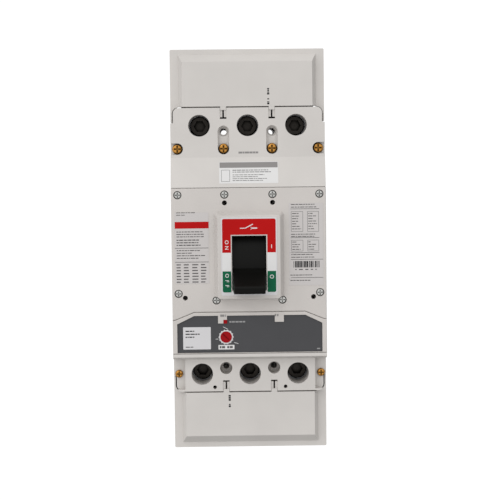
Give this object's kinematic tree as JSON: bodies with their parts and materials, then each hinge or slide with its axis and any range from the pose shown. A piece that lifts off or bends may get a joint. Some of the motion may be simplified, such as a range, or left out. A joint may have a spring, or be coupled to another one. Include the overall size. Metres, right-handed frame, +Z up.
{
  "type": "molded case circuit breaker",
  "caption": "Three-pole molded case breaker with toggle handle, trip unit, box lugs and terminal end covers.",
  "frame": {"origin": "on the back face, at the centre of the four mounting holes", "axes": "+X across the poles to the right, +Y out of the back into the wall, +Z up towards the line end"},
  "size_m": [0.1392, 0.1263, 0.3628],
  "materials": {
    "grey_moulding": "matte",
    "cover_moulding": "matte",
    "dark_panel": "matte",
    "black_plastic": "satin",
    "red_plastic": "satin",
    "insulator": "matte",
    "arc_fibre": "matte",
    "label_film": "satin",
    "zinc_steel": "satin",
    "brass_plated": "satin",
    "copper": "satin",
    "silver_alloy": "satin",
    "aluminium": "satin",
    "spring_steel": "satin",
    "dark_screw": "satin"
  },
  "bodies": {
    "case": {"base": "grey_moulding", "cover": "grey_moulding", "accessory_cover": "cover_moulding", "trip_unit_cover": "cover_moulding", "trip_unit_panel": "dark_panel", "line_cover_screws": "brass_plated", "load_cover_screws": "brass_plated", "accessory_cover_screws": "zinc_steel", "handle_label": "label_film", "circuit_diagram_label": "label_film", "data_label": "label_film", "rating_label": "label_film", "dial_plate": "label_film", "mechanism_frame_left": "zinc_steel", "mechanism_frame_right": "zinc_steel", "frame_pins": "zinc_steel", "cradle": "zinc_steel", "fixed_contacts": "silver_alloy", "flexible_connectors": "copper", "arc_plates": "zinc_steel", "line_lug_screws": "dark_screw", "load_lug_screws": "dark_screw", "trip_unit_housing": "insulator", "magnet_yokes": "zinc_steel", "bimetals": "zinc_steel", "armature_rod": "zinc_steel", "arc_chutes": "arc_fibre", "load_conductors": "copper", "line_conductor_a": "copper", "line_lug_a": "aluminium", "load_lug_a": "aluminium", "line_conductor_b": "copper", "line_lug_b": "aluminium", "load_lug_b": "aluminium", "line_conductor_c": "copper", "line_lug_c": "aluminium", "load_lug_c": "aluminium"},
    "handle": {"handle": "black_plastic", "handle_shutter": "black_plastic", "handle_yoke": "zinc_steel", "spring_bar": "zinc_steel", "main_springs": "spring_steel"},
    "crossbar": {"crossbar": "insulator", "contact_springs": "spring_steel", "moving_contacts": "silver_alloy", "contact_arm_a": "copper", "contact_arm_b": "copper", "contact_arm_c": "copper"},
    "upper_links": {"upper_links": "zinc_steel", "toggle_pin": "zinc_steel"},
    "lower_links": {"lower_links": "zinc_steel"},
    "trip_bar": {"trip_bar": "insulator"},
    "push_button": {"push_to_trip_button": "red_plastic"},
    "trip_latch": {"trip_latch": "zinc_steel"},
    "trip_dial": {"trip_dial": "red_plastic"},
    "line_end_cover": {"line_end_cover": "grey_moulding"},
    "load_end_cover": {"load_end_cover": "grey_moulding"},
    "armature_a": {"armature_a": "zinc_steel"},
    "armature_b": {"armature_b": "zinc_steel"},
    "armature_c": {"armature_c": "zinc_steel"}
  },
  "joints": [
    {"name": "handle_swing", "type": "hinge", "parent": "case", "child": "handle", "pos_m": [0, -0.045, -0.01], "axis": [-1, 0, 0], "range_deg": [0, 32], "deforming": ["main_springs"]},
    {"name": "crossbar_turn", "type": "hinge", "parent": "case", "child": "crossbar", "pos_m": [0, -0.024, -0.022], "axis": [-1, 0, 0], "range_deg": [0, 30], "deforming": ["flexible_connectors"]},
    {"name": "upper_link_swing", "type": "hinge", "parent": "case", "child": "upper_links", "pos_m": [0, -0.072, -0.002], "axis": [-1, 0, 0], "range_deg": [-49.4, 0]},
    {"name": "lower_link_swing", "type": "hinge", "parent": "crossbar", "child": "lower_links", "pos_m": [0, -0.03814, -0.00515], "axis": [-1, 0, 0], "range_deg": [-10.9, 0]},
    {"name": "trip_bar_turn", "type": "hinge", "parent": "case", "child": "trip_bar", "pos_m": [0, -0.056, -0.078], "axis": [-1, 0, 0], "range_deg": [0, 12]},
    {"name": "button_press", "type": "slide", "parent": "case", "child": "push_button", "axis": [0, 1, 0], "range_m": [0, 0.003]},
    {"name": "latch_release", "type": "hinge", "parent": "case", "child": "trip_latch", "pos_m": [0, -0.05, -0.046], "axis": [1, 0, 0], "range_deg": [0, 15]},
    {"name": "dial_turn", "type": "hinge", "parent": "case", "child": "trip_dial", "pos_m": [-0.0215, -0.09, -0.0779], "axis": [0, -1, 0], "range_deg": [-135, 135]},
    {"name": "line_end_cover_slide", "type": "slide", "parent": "case", "child": "line_end_cover", "axis": [0, 0, 1], "range_m": [0, 0.025]},
    {"name": "load_end_cover_slide", "type": "slide", "parent": "case", "child": "load_end_cover", "axis": [0, 0, -1], "range_m": [0, 0.025]},
    {"name": "armature_a_swing", "type": "hinge", "parent": "case", "child": "armature_a", "pos_m": [0, -0.038, -0.087], "axis": [-1, 0, 0], "range_deg": [0, 3.2]},
    {"name": "armature_b_swing", "type": "hinge", "parent": "case", "child": "armature_b", "pos_m": [0, -0.038, -0.087], "axis": [-1, 0, 0], "range_deg": [0, 3.2]},
    {"name": "armature_c_swing", "type": "hinge", "parent": "case", "child": "armature_c", "pos_m": [0, -0.038, -0.087], "axis": [-1, 0, 0], "range_deg": [0, 3.2]}
  ],
  "couplings": [
    {"joint": "crossbar_turn", "follows": "handle_swing", "ratio": 0.9375},
    {"joint": "upper_link_swing", "follows": "handle_swing", "ratio": -1.5279},
    {"joint": "lower_link_swing", "follows": "handle_swing", "ratio": -0.325},
    {"joint": "button_press", "follows": "trip_bar_turn", "m_per_rad": 0.01385},
    {"joint": "latch_release", "follows": "trip_bar_turn", "ratio": 1.2}
  ]
}
